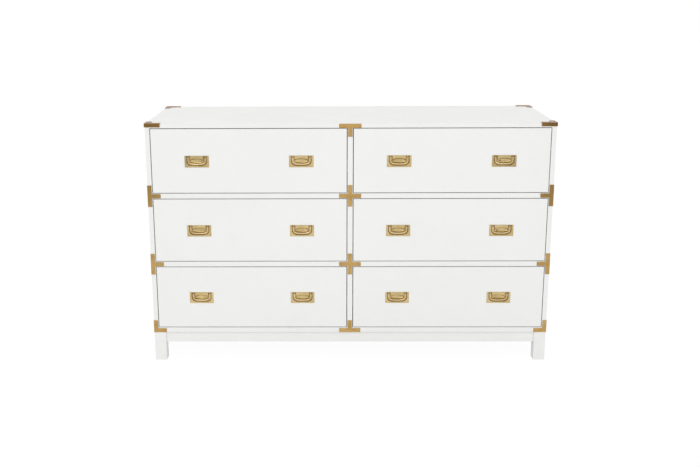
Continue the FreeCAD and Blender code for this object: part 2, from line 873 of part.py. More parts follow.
def make_channel(name, web, flange, half):
    """A slide member at the right of a drawer: a web with a flange along each edge, from its profile."""
    body = new_body(name)
    metal = s.slide_metal if sized(flange).number > sized(web).number else -s.slide_metal
    profile = sketch(body, "XZ_Plane", f"{name}_profile", -s.slide_start)
    axis = -s.slide_drop
    polygon(
        profile,
        [
            (web, axis - half),
            (flange, axis - half),
            (flange, axis - half + s.slide_metal),
            (web + metal, axis - half + s.slide_metal),
            (web + metal, axis + half - s.slide_metal),
            (flange, axis + half - s.slide_metal),
            (flange, axis + half),
            (web, axis + half),
        ],
    )
    pad(body, profile, s.slide_length, reverse=True)
    return compound(f"{name}_pair", [body, mirror(f"{name}_left", body, LEFT_RIGHT)])


def make_drawers():
    """Six equal drawers: each node is the drawer's own piece, placed at the middle of its opening."""
    box, bottom = make_drawer_box()
    wall = opening_width / 2
    half = s.slide_height / 2
    inner_half = half - s.slide_metal - s.slide_play
    case_members = make_channel("case_slide", wall, wall - slide_reach, half)
    drawer_members = make_channel("drawer_slide", box_out, box_out + slide_reach, inner_half)
    pieces = (
        ("front", make_drawer_front()),
        ("box", box),
        ("bottom", bottom),
        ("slides", drawer_members),
        ("pull_plates", pair("pull_plate_pair", make_plate())),
    )
    bail = make_bail()
    nodes = []
    case_slides = []
    for column, sign in COLUMNS:
        for level, row in enumerate(ROWS):
            middle = (sign * opening_middle, front, floor_top + opening_height / 2 + level * row_pitch)
            for part, piece in pieces:
                nodes.append(place(compound(f"{row}_{column}_{part}", [piece]), *middle))
            for hand, hand_sign in COLUMNS:
                copy = compound(f"{row}_{column}_bail_{hand}", [bail])
                x, y, z = middle
                nodes.append(place(copy, x + hand_sign * s.pull_spacing / 2, y, z - s.pull_drop))
            case_slides.append(place(compound(f"case_slide_{row}_{column}", [case_members]), *middle))
    nodes.append(compound("case_slides", case_slides))
    return nodes


# ---------------------------------------------------------------- build, test and write
nodes = make_case() + make_rails() + make_base() + make_straps() + make_drawers()
doc.recompute()

for item in doc.Objects:
    if "Invalid" in item.State or "Error" in item.State:
        raise RuntimeError(f"{item.Label} failed: {item.State}")
os.makedirs("parts", exist_ok=True)
for node in nodes:
    if node.Shape.isNull() or not node.Shape.isValid() or not node.Shape.Solids:
        raise RuntimeError(f"{node.Label} has no sound shape")
for node in nodes:
    node.Shape.exportStep(f"parts/{node.Label}.step")
print(len(nodes), "nodes,", sum(len(node.Shape.Solids) for node in nodes), "solids")
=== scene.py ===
"""Campaign chest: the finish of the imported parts, the cast pulls and their bails, a white studio
and the camera.

Metres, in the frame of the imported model: +X to the right, +Y to the back, +Z up and the floor at
z = 0. The pulls are drawn in millimetres about the middle of their plates, and are then placed by
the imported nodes.
"""
import math

import bmesh
import bpy
from mathutils import Matrix, Vector


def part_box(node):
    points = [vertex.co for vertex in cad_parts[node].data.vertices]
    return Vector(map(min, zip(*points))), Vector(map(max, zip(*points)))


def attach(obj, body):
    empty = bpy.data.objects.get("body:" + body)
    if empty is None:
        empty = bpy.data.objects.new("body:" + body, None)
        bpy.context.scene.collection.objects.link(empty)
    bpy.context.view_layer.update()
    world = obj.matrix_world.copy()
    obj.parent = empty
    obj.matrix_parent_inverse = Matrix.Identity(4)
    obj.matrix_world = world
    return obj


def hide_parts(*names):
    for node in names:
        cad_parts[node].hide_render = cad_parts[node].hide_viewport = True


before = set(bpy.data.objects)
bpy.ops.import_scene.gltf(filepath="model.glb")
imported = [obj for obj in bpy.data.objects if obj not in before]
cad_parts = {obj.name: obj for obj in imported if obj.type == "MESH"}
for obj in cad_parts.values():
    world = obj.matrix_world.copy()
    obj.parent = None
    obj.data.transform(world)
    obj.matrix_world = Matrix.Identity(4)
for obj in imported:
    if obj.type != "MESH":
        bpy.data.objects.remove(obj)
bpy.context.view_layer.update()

MM = 0.001
ROWS = ("bottom", "middle", "top")
COLUMNS = ("left", "right")


# ---------------------------------------------------------------- objects
def new_object(name, data):
    """An object with its data, linked to the scene."""
    made = bpy.data.objects.new(name, data)
    bpy.context.scene.collection.objects.link(made)
    return made


def mesh_object(name, mesh):
    """The object that a bmesh becomes. It frees the bmesh."""
    data = bpy.data.meshes.new(name)
    mesh.to_mesh(data)
    mesh.free()
    return new_object(name, data)


# ---------------------------------------------------------------- camera
LENS = 50.094  # mm
SENSOR = 36  # mm wide
SHIFT_X = 0.0404
SHIFT_Y = 0.0015
CLIP_END = 200
CAMERA_PLACE = Vector((-0.0634, -3.6633, 1.3594))
YAW = math.radians(-0.652)
PITCH = math.radians(14.386)  # down
ROLL = math.radians(-0.250)


def make_camera():
    data = bpy.data.cameras.new("camera")
    data.lens = LENS
    data.sensor_width = SENSOR
    data.shift_x = SHIFT_X
    data.shift_y = SHIFT_Y
    data.clip_end = CLIP_END
    camera = new_object("camera", data)
    flat = math.cos(PITCH)
    ahead = Vector((math.sin(YAW) * flat, math.cos(YAW) * flat, -math.sin(PITCH)))
    level = Vector((math.cos(YAW), -math.sin(YAW), 0))
    upright = level.cross(ahead)
    right = math.cos(ROLL) * level + math.sin(ROLL) * upright
    up = right.cross(ahead)
    turn = Matrix((right, up, -ahead)).transposed()
    camera.matrix_world = Matrix.Translation(CAMERA_PLACE) @ turn.to_4x4()
    bpy.context.scene.camera = camera


# ---------------------------------------------------------------- node trees
# Sockets of a Mix node, which carry the same names in each of its data types.
COLOUR_A, COLOUR_B, COLOUR_RESULT = 6, 7, 2
VECTOR_A, VECTOR_B, VECTOR_RESULT = 4, 5, 1


def plug(tree, socket, value):
    """Links an output to a socket, or sets the socket's own value."""
    if isinstance(value, bpy.types.NodeSocket):
        tree.links.new(value, socket)
    else:
        socket.default_value = value


def add(tree, kind, inputs, **settings):
    """A new node with its settings, and its inputs plugged by name or number."""
    made = tree.nodes.new(kind)
    for name, value in settings.items():
        setattr(made, name, value)
    for name, value in inputs.items():
        plug(tree, made.inputs[name], value)
    return made


def maths(tree, operation, first, second=0.0, third=0.0):
    inputs = {0: first, 1: second, 2: third}
    return add(tree, "ShaderNodeMath", inputs, operation=operation).outputs[0]


def weighted(tree, first, share, second):
    """The mean of two factors in which the first has this share."""
    rest = maths(tree, "MULTIPLY", second, 1 - share)
    return maths(tree, "MULTIPLY_ADD", first, share, rest)


def ramp(tree, factor, low, high, start, end):
    """A factor between low and high becomes start to end, smoothly."""
    inputs = {
        "Value": factor,
        "From Min": low,
        "From Max": high,
        "To Min": start,
        "To Max": end,
    }
    made = add(tree, "ShaderNodeMapRange", inputs, interpolation_type="SMOOTHSTEP")
    return made.outputs["Result"]


def blend_colours(tree, factor, first, second):
    inputs = {"Factor": factor, COLOUR_A: first, COLOUR_B: second}
    return add(tree, "ShaderNodeMix", inputs, data_type="RGBA").outputs[COLOUR_RESULT]


def noise(tree, place, scale, detail=2.0, distortion=0.0, rough=0.5):
    inputs = {
        "Vector": place,
        "Scale": scale,
        "Detail": detail,
        "Distortion": distortion,
        "Roughness": rough,
    }
    return add(tree, "ShaderNodeTexNoise", inputs).outputs["Fac"]


def stretched(tree, place, scale):
    inputs = {"Vector": place, "Scale": scale}
    return add(tree, "ShaderNodeMapping", inputs).outputs["Vector"]


def bump(tree, height, strength, distance):
    inputs = {"Height": height, "Strength": strength, "Distance": distance}
    return add(tree, "ShaderNodeBump", inputs).outputs["Normal"]


def rgb(red, green, blue):
    return (red, green, blue, 1.0)


def new_material(name, **sockets):
    """A material with one Principled shader, whose own sockets hold its plain values."""
    material = bpy.data.materials.new(name)
    material.use_nodes = True
    tree = material.node_tree
    shader = tree.nodes["Principled BSDF"]
    for socket, value in sockets.items():
        plug(tree, shader.inputs[socket.replace("_", " ")], value)
    place = tree.nodes.new("ShaderNodeTexCoord").outputs["Object"]
    return material, tree, shader, place


def coat(tree, shader, colour, roughness, normal=None):
    """Plugs what varies over a surface into its shader."""
    plug(tree, shader.inputs["Base Color"], colour)
    plug(tree, shader.inputs["Roughness"], roughness)
    if normal is not None:
        plug(tree, shader.inputs["Normal"], normal)


# ---------------------------------------------------------------- materials
# The scale of a noise is its number of cells to the metre. A bump's distance is in metres.
PATINA_AND_SHADE_REACH = 0.005  # metres within which a sheltered hollow is darkened, partly as patina and partly as painted shade
HOLLOW_SHADE_RAYS = 8
RUBBED_SCALE = (1, 1, 0.08)  # scratches that run up and down
GRAIN_SCALE = 0.05  # along the grain of wood
LATE_WOOD = 0.55  # how much of the dark tone the late wood takes
GREY_EDGE = rgb(0.68, 0.71, 0.83)


def make_lacquer(name, colour, shade):
    """Sprayed satin lacquer: a cloudy tone, uneven gloss and a fine orange peel."""
    material, tree, shader, place = new_material(name, IOR=1.48, Specular_IOR_Level=0.45)
    cloud = noise(tree, place, scale=2.2, detail=3)
    drift = noise(tree, place, scale=14, detail=4)
    tone = weighted(tree, drift, 0.35, cloud)
    peel = noise(tree, place, scale=420, detail=2)
    coat(
        tree,
        shader,
        colour=blend_colours(tree, ramp(tree, tone, 0.35, 0.65, 0, 1), colour, shade),
        roughness=ramp(tree, drift, 0.3, 0.7, 0.34, 0.42),
        normal=bump(tree, peel, strength=0.06, distance=0.0002),
    )
    return material


def make_brass(name, bright, deep, smooth, dull, patina_and_shade=None, edge=rgb(1, 1, 1)):
    """Brass under a thin patina, which deepens the colour and dulls the shine in blotches, with
    fine rubbed scratches. A patina and shade colour, where given, fills the hollows that the part
    itself shelters: partly patina, partly painted shade. The edge colour tints what is reflected
    at a low angle."""
    material, tree, shader, place = new_material(name, Metallic=1.0, Specular_Tint=edge)
    blotch = noise(tree, place, scale=22, detail=5, distortion=0.6)
    fleck = noise(tree, place, scale=160, detail=3)
    patina = weighted(tree, fleck, 0.3, blotch)
    colour = blend_colours(tree, ramp(tree, patina, 0.38, 0.64, 0, 1), bright, deep)
    if patina_and_shade:
        # Painted shade: ambient occlusion of the part itself darkens its hollows, and also stands
        # for the patina there.
        reach = {"Distance": PATINA_AND_SHADE_REACH}
        settings = {"samples": HOLLOW_SHADE_RAYS, "only_local": True}
        patina_and_shade_mask = add(tree, "ShaderNodeAmbientOcclusion", reach, **settings).outputs["AO"]
        flecked_patina_and_shade_mask = maths(tree, "MULTIPLY_ADD", fleck, 0.1, patina_and_shade_mask)
        colour = blend_colours(tree, ramp(tree, flecked_patina_and_shade_mask, 0.58, 1.10, 1, 0), colour, patina_and_shade)
    rubbed = noise(tree, stretched(tree, place, RUBBED_SCALE), scale=1800, detail=2)
    coat(
        tree,
        shader,
        colour=colour,
        roughness=ramp(tree, patina, 0.35, 0.65, smooth, dull),
        normal=bump(tree, rubbed, strength=0.12, distance=0.00005),
    )
    return material


def board_grain(tree, place, axis=0):
    """Grain along X, or along another axis by its number."""
    scale = [1.0, 1.0, 1.0]
    scale[axis] = GRAIN_SCALE
    return stretched(tree, place, scale)


def box_grain(tree, place):
    """Grain along Y on the sides of a drawer box, whose faces look along X, and along X
    elsewhere."""
    normal = tree.nodes.new("ShaderNodeTexCoord").outputs["Normal"]
    facing = add(tree, "ShaderNodeSeparateXYZ", {"Vector": normal}).outputs["X"]
    inputs = {
        "Factor": maths(tree, "GREATER_THAN", maths(tree, "ABSOLUTE", facing), 0.5),
        VECTOR_A: board_grain(tree, place, axis=0),
        VECTOR_B: board_grain(tree, place, axis=1),
    }
    return add(tree, "ShaderNodeMix", inputs, data_type="VECTOR").outputs[VECTOR_RESULT]


def make_wood(name, pale, dark, grain):
    """Clear-sealed boards with straight grain, early and late wood, and short pores."""
    material, tree, shader, place = new_material(name, IOR=1.5)
    grain_place = grain(tree, place)
    figure = noise(tree, grain_place, scale=26, detail=5, distortion=0.9)
    rings = maths(tree, "FRACT", maths(tree, "MULTIPLY", figure, 7.0))
    late = ramp(tree, rings, 0.15, 0.95, 0.0, 1.0)
    pores = ramp(tree, noise(tree, grain_place, scale=520, detail=2), 0.56, 0.7, 0.0, 0.5)
    tint = maths(tree, "ADD", maths(tree, "MULTIPLY", late, LATE_WOOD), pores)
    coat(
        tree,
        shader,
        colour=blend_colours(tree, tint, pale, dark),
        roughness=ramp(tree, late, 0, 1, 0.42, 0.52),
        normal=bump(tree, tint, strength=0.15, distance=0.0002),
    )
    return material


def make_steel(name):
    """Zinc plating: faint crystals and a soft, uneven shine."""
    material, tree, shader, place = new_material(name, Metallic=1.0)
    inputs = {"Vector": place, "Scale": 260.0}
    crystals = add(tree, "ShaderNodeTexVoronoi", inputs).outputs["Color"]
    grey = add(tree, "ShaderNodeSeparateColor", {"Color": crystals}).outputs[0]
    coat(
        tree,
        shader,
        colour=blend_colours(tree, grey, rgb(0.60, 0.61, 0.63), rgb(0.50, 0.51, 0.53)),
        roughness=ramp(tree, grey, 0, 1, 0.28, 0.42),
    )
    return material


def make_nylon(name):
    """Moulded black nylon: a fine, dull grain."""
    material, tree, shader, place = new_material(name, IOR=1.5)
    grain = noise(tree, place, scale=900, detail=2)
    coat(
        tree,
        shader,
        colour=blend_colours(tree, grain, rgb(0.03, 0.03, 0.03), rgb(0.055, 0.055, 0.055)),
        roughness=ramp(tree, grain, 0.3, 0.7, 0.5, 0.62),
        normal=bump(tree, grain, strength=0.2, distance=0.0001),
    )
    return material


def make_fibreboard(name, pale, dark):
    """Painted fibreboard: thin paint over a felted, slightly speckled face."""
    material, tree, shader, place = new_material(name, IOR=1.45)
    felt = noise(tree, place, scale=240, detail=5, rough=0.7)
    cloud = noise(tree, place, scale=5, detail=3)
    tone = weighted(tree, cloud, 0.5, felt)
    coat(
        tree,
        shader,
        colour=blend_colours(tree, ramp(tree, tone, 0.35, 0.65, 0, 1), pale, dark),
        roughness=ramp(tree, felt, 0.3, 0.7, 0.55, 0.68),
        normal=bump(tree, felt, strength=0.25, distance=0.0002),
    )
    return material


CASE_LACQUER = make_lacquer("case_lacquer", rgb(0.903, 0.903, 0.886), rgb(0.886, 0.886, 0.868))
FRONT_LACQUER = make_lacquer("front_lacquer", rgb(0.905, 0.905, 0.888), rgb(0.889, 0.889, 0.872))
STRAP_BRASS = make_brass(
    "strap_brass",
    bright=rgb(0.55, 0.36, 0.138),
    deep=rgb(0.46, 0.286, 0.097),
    smooth=0.24,
    dull=0.34,
    edge=GREY_EDGE,
)
# The caps' brass is darker than the straps': painted shade, standing in for the dark reflections
# that the caps show.
SHADED_CAP_BRASS = make_brass(
    "cap_brass_painted_shade",
    bright=rgb(0.48, 0.285, 0.098),
    deep=rgb(0.39, 0.215, 0.066),
    smooth=0.24,
    dull=0.34,
    edge=GREY_EDGE,
)
PLATE_BRASS = make_brass(
    "plate_brass",
    bright=rgb(0.683, 0.538, 0.272),
    deep=rgb(0.578, 0.437, 0.200),
    smooth=0.22,
    dull=0.36,
    # dark brown of the channel, cup and crease under the grip: partly patina, partly painted shade
    patina_and_shade=rgb(0.17, 0.056, 0.012),
)
# The bail's brass is lighter than the plate's: a painted highlight, standing in for the cream
# shine on its grip and arms.
HIGHLIGHTED_BAIL_BRASS = make_brass(
    "bail_brass_painted_highlight",
    bright=rgb(0.82, 0.67, 0.40),
    deep=rgb(0.69, 0.54, 0.29),
    smooth=0.16,
    dull=0.30,
    # dark brown where the bail's own bends shelter it: partly patina, partly painted shade
    patina_and_shade=rgb(0.17, 0.085, 0.03),
)
BOX_WOOD = make_wood("box_wood", rgb(0.70, 0.53, 0.33), rgb(0.50, 0.33, 0.17), box_grain)
BOTTOM_WOOD = make_wood("bottom_wood", rgb(0.72, 0.56, 0.37), rgb(0.56, 0.40, 0.23), board_grain)
STEEL = make_steel("zinc_steel")
NYLON = make_nylon("black_nylon")
BACKING = make_fibreboard("painted_fibreboard", rgb(0.80, 0.79, 0.76), rgb(0.74, 0.73, 0.69))


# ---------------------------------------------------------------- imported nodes
SAME_PLACE = 1e-6  # metres within which vertices are one
SOFTEN_ANGLE = 40  # degrees between two faces from which on their edge is softened
SOFTEN_SEGMENTS = 2

# How the names of nodes end, their material, and the width in millimetres of their softened
# edges. The first that fits a node is used, and the last fits all.
FINISHES = (
    ("_front", FRONT_LACQUER, 0.5),
    ("_box", BOX_WOOD, 0.3),
    ("_bottom", BOTTOM_WOOD, 0.2),
    ("slides", STEEL, 0.15),
    ("straps", STRAP_BRASS, 0.35),
    ("top_corner_caps", SHADED_CAP_BRASS, 1.1),
    ("leg_glides", NYLON, 0.3),
    ("back_panel", BACKING, 0.3),
    ("", CASE_LACQUER, 0.5),
)


def soften(piece, width):
    """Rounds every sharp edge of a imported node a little, so that it catches the light."""
    weld = piece.modifiers.new("weld", "WELD")
    weld.merge_threshold = SAME_PLACE
    bevel = piece.modifiers.new("bevel", "BEVEL")
    bevel.width = width
    bevel.segments = SOFTEN_SEGMENTS
    bevel.limit_method = "ANGLE"
    bevel.angle_limit = math.radians(SOFTEN_ANGLE)
    bevel.harden_normals = True


def finish_of(node):
    """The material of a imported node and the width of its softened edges."""
    for ending, material, width in FINISHES:
        if node.endswith(ending):
            return material, width * MM


def dress_nodes(made_again):
    """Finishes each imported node, apart from those that the scene makes again."""
    for name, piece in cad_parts.items():
        if name in made_again:
            continue
        material, width = finish_of(name)
        piece.data.materials.clear()
        piece.data.materials.append(material)
        soften(piece, width)


# ---------------------------------------------------------------- pulls: casting, millimetres
BEND_STEPS = 16
CORNER_STEPS = 4
OVAL_STEPS = 72
BOWL_STEPS = 16

PLATE_WIDE = 43.0  # half of the flange
PLATE_HIGH = 20.65
PLATE_CORNER = 1.2
PLATE_THICK = 2.0
PLATE_EDGE = 0.6  # round of the flange's front edge
CHANNEL_OUT = 36.5
CHANNEL_TOP = 19.45
CHANNEL_LOW = -15.55
CHANNEL_BEND = 18.0
CHANNEL_CORNER = 1.6  # upper corners of its two ends
CHANNEL_DEPTH = 4.6
CHANNEL_FOOT = 1.2  # round between its wall and its floor
TONGUE_WIDE = 24.0
TONGUE_LOW = -3.05
TONGUE_CORNER = 2.0
CUP_WIDE = 28.5
CUP_HIGH = 9.4
CUP_MIDDLE = 1.1  # above the middle of the plate
CUP_DEPTH = 10.0
CUP_LEVEL = 4.6  # 2 is a round bowl, and more gives it a level floor and a steep wall
CUP_BLOCK = 11.7  # half height of the casting's square back, behind the cup
SHELL_WALL = 2.0
CUP_WALL = 1.2
HEAD_WALL = 0.9  # behind the ends of the channel
LIP = 0.7  # round of every inner edge
OVER = 1.0  # how far the cutting shapes stand in front of the face

# Degrees round a quarter circle.
EDGE_TURNS = range(0, 91, 18)
FOOT_TURNS = range(90, -1, -15)
LIP_TURNS = (20, 40, 60, 80)

MERGE = 1e-7  # metres within which vertices of a new solid are one
SHARP_ANGLE = 34  # degrees between two faces from which on their edge stays sharp


def turned(centre, radius, start, end, count):
    """Points on an arc, with both its ends. Angles in degrees."""
    x, z = centre
    turns = [math.radians(start + (end - start) * step / count) for step in range(count + 1)]
    return [(x + radius * math.cos(turn), z + radius * math.sin(turn)) for turn in turns]


def whole(half):
    """A closed outline from its right half, which starts and ends on the middle line."""
    return half + [(-x, z) for x, z in reversed(half[1:-1])]


def cushion(wide, low, high):
    """An upright rectangle about the middle line, its corners rounded like the plate's."""
    corner = PLATE_CORNER
    below = turned((wide - corner, low + corner), corner, -90, 0, CORNER_STEPS)
    above = turned((wide - corner, high - corner), corner, 0, 90, CORNER_STEPS)
    return whole([(0.0, low)] + below + above + [(0.0, high)])


def cup_outline(wide, high):
    """The oval of the finger cup, from its half width and half height."""
    turns = [2 * math.pi * step / OVAL_STEPS for step in range(OVAL_STEPS)]
    return [(wide * math.cos(turn), CUP_MIDDLE + high * math.sin(turn)) for turn in turns]


def channel_outline(inset):
    """The channel that the bail lies in, which runs down one side of the tongue, across below
    it and up the other side."""
    corner = CHANNEL_CORNER - min(inset, 0)
    top = CHANNEL_TOP - inset - corner
    far = CHANNEL_OUT - inset - corner
    near = TONGUE_WIDE + inset + corner
    bend = (CHANNEL_OUT - CHANNEL_BEND, CHANNEL_LOW + CHANNEL_BEND)
    foot = (TONGUE_WIDE - TONGUE_CORNER, TONGUE_LOW + TONGUE_CORNER)
    half = [(0.0, CHANNEL_LOW + inset)]
    half += turned(bend, CHANNEL_BEND - inset, -90, 0, BEND_STEPS)
    half += turned((far, top), corner, 0, 90, CORNER_STEPS)
    half += turned((near, top), corner, 90, 180, CORNER_STEPS)
    half += turned(foot, TONGUE_CORNER + inset, 0, -90, CORNER_STEPS)
    return whole(half + [(0.0, TONGUE_LOW - inset)])


def quarter(radius, turns):
    """Run and rise of a round corner, from where it leaves one side to where it meets the
    other."""
    places = [math.radians(turn) for turn in turns]
    return [(radius * (1 - math.cos(turn)), radius * (1 - math.sin(turn))) for turn in places]


def block_rings():
    """The uncut casting, from its back over the flange's edge to its face: outlines and their
    depths behind the face."""
    cup_back = CUP_DEPTH + CUP_WALL
    shell_back = CHANNEL_DEPTH + CUP_WALL
    shell_low = CHANNEL_LOW - SHELL_WALL
    cup = cushion(CUP_WIDE + CUP_WALL, -CUP_BLOCK, CUP_BLOCK)
    shell = cushion(CHANNEL_OUT + SHELL_WALL, shell_low, CHANNEL_TOP + HEAD_WALL)
    rings = [(cup, cup_back), (cup, shell_back), (shell, shell_back), (shell, PLATE_THICK)]
    for inset, depth in [(0, PLATE_THICK)] + quarter(PLATE_EDGE, EDGE_TURNS):
        high = PLATE_HIGH - inset
        rings.append((cushion(PLATE_WIDE - inset, -high, high), depth))
    return rings


def lip():
    """How far the edge of a recess opens, and at what depth, as it rolls over into the face and
    beyond."""
    rolled = quarter(LIP, LIP_TURNS)
    return rolled + [(rolled[-1][0], -OVER)]


def channel_rings():
    """What is cut away for the channel, from its floor out through the face."""
    foot = quarter(CHANNEL_FOOT, FOOT_TURNS)
    rings = [(channel_outline(inset), CHANNEL_DEPTH - rise) for inset, rise in foot]
    rings.append((channel_outline(0), LIP))
    return rings + [(channel_outline(-opened), depth) for opened, depth in lip()]


def cup_rings():
    """What is cut away for the finger cup: a bowl, from its floor out through the face."""
    rings = []
    for step in range(1, BOWL_STEPS + 1):
        share = math.sin(math.radians(90 * step / BOWL_STEPS))
        depth = LIP + (CUP_DEPTH - LIP) * math.sqrt(1 - share**CUP_LEVEL)
        rings.append((cup_outline(CUP_WIDE * share, CUP_HIGH * share), depth))
    for opened, depth in lip():
        rings.append((cup_outline(CUP_WIDE + opened, CUP_HIGH + opened), depth))
    return rings


def skin(mesh, rings):
    """Quads between rings of as many vertices each, and a flat cap at each end."""
    count = len(rings[0])
    for lower, upper in zip(rings, rings[1:]):
        for index in range(count):
            following = (index + 1) % count
            mesh.faces.new((lower[index], lower[following], upper[following], upper[index]))
    mesh.faces.new(list(reversed(rings[0])))
    mesh.faces.new(rings[-1])


def solid(name, outlines):
    """A closed mesh object through outlines at their depths."""
    mesh = bmesh.new()
    rings = []
    for outline, depth in outlines:
        rings.append([mesh.verts.new(Vector((x, depth, z)) * MM) for x, z in outline])
    skin(mesh, rings)
    bmesh.ops.remove_doubles(mesh, verts=mesh.verts, dist=MERGE)
    bmesh.ops.recalc_face_normals(mesh, faces=mesh.faces)
    return mesh_object(name, mesh)


def cast_plate():
    """One casting about the middle of its face: the block less the channel and the cup."""
    block = solid("block", block_rings())
    cutters = [solid("channel_cutter", channel_rings()), solid("cup_cutter", cup_rings())]
    for cutter in cutters:
        less = block.modifiers.new(cutter.name, "BOOLEAN")
        less.operation = "DIFFERENCE"
        less.solver = "EXACT"
        less.object = cutter
    cut = block.evaluated_get(bpy.context.evaluated_depsgraph_get())
    data = bpy.data.meshes.new_from_object(cut)
    data.name = "cast_plate"
    for piece in [block] + cutters:
        bpy.data.objects.remove(piece)
    crisp_edges(data)
    return data


def crisp_edges(data):
    """Marks the edges that smooth shading is to leave sharp."""
    mesh = bmesh.new()
    mesh.from_mesh(data)
    bmesh.ops.remove_doubles(mesh, verts=mesh.verts, dist=SAME_PLACE)
    for edge in mesh.edges:
        edge.smooth = edge.calc_face_angle(math.pi) < math.radians(SHARP_ANGLE)
    mesh.to_mesh(data)
    mesh.free()


# ---------------------------------------------------------------- pulls: bail, millimetres
ARM_WIDE = 30.8  # half, to the middle of an arm
BAIL_HEAD = 13.5  # top of an arm, above the middle of the plate
PIVOT_HEIGHT = 12.1
GRIP_TOP = 1.0  # where the arms run into the curve of the grip
GRIP_DROP = 11.1  # from there to the middle of the grip
GRIP_FULLNESS = 2.5  # 2 is half an ellipse, and more squares its bends
ARM_RADIUS = 2.3
NECK_RADIUS = 1.5  # where the arm meets the grip
GRIP_RADIUS = 2.5  # middle of the grip, up and down
ARM_TAPER = 1.5  # 1 is an even taper, and more leaves it to the arm's lower end
GRIP_SWELL = 1.2  # 1 is a sine, and more leaves the swelling to the grip's middle
BAR_DEEP = 2.1  # middle of the bar to its front and back
BAR_SQUARE = 0.85  # 1 is a round section, and less presses it towards a square
DOME_TURNS = (25, 50, 72)  # degrees round the domed end of a bar
DOME_REACH = 0.5  # how far it stands out, as a share of the bar's radius
PIN_RADIUS = 1.0
PIN_END = 37.9
PIN_CHAMFER = 0.2
BAR_STEPS = 24
ARM_RINGS = 12
GRIP_RINGS = 64


def bail_line():
    """The middle line of a bail from its left head to its right: place, direction and radius of
    the bar."""
    line = []
    for step in range(ARM_RINGS):
        share = step / ARM_RINGS
        size = ARM_RADIUS + (NECK_RADIUS - ARM_RADIUS) * share**ARM_TAPER
        height = BAIL_HEAD + (GRIP_TOP - BAIL_HEAD) * share
        line.append(((-ARM_WIDE, height), (0, -1), size))
    power = 2 / GRIP_FULLNESS
    for step in range(GRIP_RINGS // 2 + 1):
        turn = math.pi * step / GRIP_RINGS
        across = -ARM_WIDE * math.cos(turn) ** power
        height = GRIP_TOP - GRIP_DROP * math.sin(turn) ** power
        size = NECK_RADIUS + (GRIP_RADIUS - NECK_RADIUS) * math.sin(turn) ** GRIP_SWELL
        line.append(((across, height), grip_direction(turn), size))
    mirrored = []
    for (x, z), (along, rise), size in reversed(line[:-1]):
        mirrored.append(((-x, z), (along, -rise), size))
    return line + mirrored


def grip_direction(turn):
    """The direction of the grip's curve, from the head of the left arm on."""
    lean = 2 - 2 / GRIP_FULLNESS
    return (ARM_WIDE * math.sin(turn) ** lean, -GRIP_DROP * math.cos(turn) ** lean)


def bar_ring(mesh, centre, place, direction, size, square=BAR_SQUARE):
    """A section across the bar. It is as deep as the bar, or less at its ends and pins."""
    along = Vector((direction[0], 0, direction[1])).normalized()
    across = along.cross(Vector((0, 1, 0)))
    middle = Vector((place[0], 0, place[1]))
    deep = min(size, BAR_DEEP)
    ring = []
    for step in range(BAR_STEPS):
        turn = 2 * math.pi * step / BAR_STEPS
        side = math.copysign(abs(math.cos(turn)) ** square, math.cos(turn)) * size
        depth = math.copysign(abs(math.sin(turn)) ** square, math.sin(turn)) * deep
        point = middle + across * side + Vector((0, depth, 0))
        ring.append(mesh.verts.new(centre + point * MM))
    return ring


def add_bar(mesh, centre, line):
    """A bar along a line, with domed ends."""
    domed = []
    for end, sign in ((line[0], -1), (line[-1], 1)):
        (x, z), (along, rise), size = end
        dome = []
        for degrees in DOME_TURNS:
            turn = math.radians(degrees)
            out = sign * size * DOME_REACH * math.sin(turn)
            dome.append(((x + along * out, z + rise * out), (along, rise), size * math.cos(turn)))
        domed.append(dome)
    stations = list(reversed(domed[0])) + line + domed[1]
    skin(mesh, [bar_ring(mesh, centre, *station) for station in stations])


def add_pin(mesh, centre, sign):
    """The pivot pin, from inside the head of an arm into the wall of the channel."""
    ends = (ARM_WIDE, PIN_END - PIN_CHAMFER, PIN_END)
    sizes = (PIN_RADIUS, PIN_RADIUS, PIN_RADIUS - PIN_CHAMFER)
    rings = []
    for end, size in zip(ends, sizes):
        place = (sign * end, PIVOT_HEIGHT)
        rings.append(bar_ring(mesh, centre, place, (sign, 0), size, square=1))
    skin(mesh, rings)


# ---------------------------------------------------------------- pulls: pieces
def new_piece(name, mesh, material):
    """The object that a bmesh becomes, with its material and shaded smooth."""
    piece = mesh_object(name, mesh)
    polygons = piece.data.polygons
    polygons.foreach_set("use_smooth", [True] * len(polygons))
    piece.data.materials.append(material)
    normals = piece.modifiers.new("normals", "WEIGHTED_NORMAL")
    normals.keep_sharp = True
    return piece


def bail_mesh(pivot):
    """A bail with its two pins, about the middle of its plate."""
    mesh = bmesh.new()
    add_bar(mesh, pivot, bail_line())
    for sign in (-1, 1):
        add_pin(mesh, pivot, sign)
    bmesh.ops.recalc_face_normals(mesh, faces=mesh.faces)
    return mesh


def plates_mesh(casting, centres):
    """A casting at each centre."""
    mesh = bmesh.new()
    for centre in centres:
        known = len(mesh.verts)
        mesh.from_mesh(casting)
        mesh.verts.ensure_lookup_table()
        bmesh.ops.translate(mesh, verts=mesh.verts[known:], vec=centre)
    return mesh


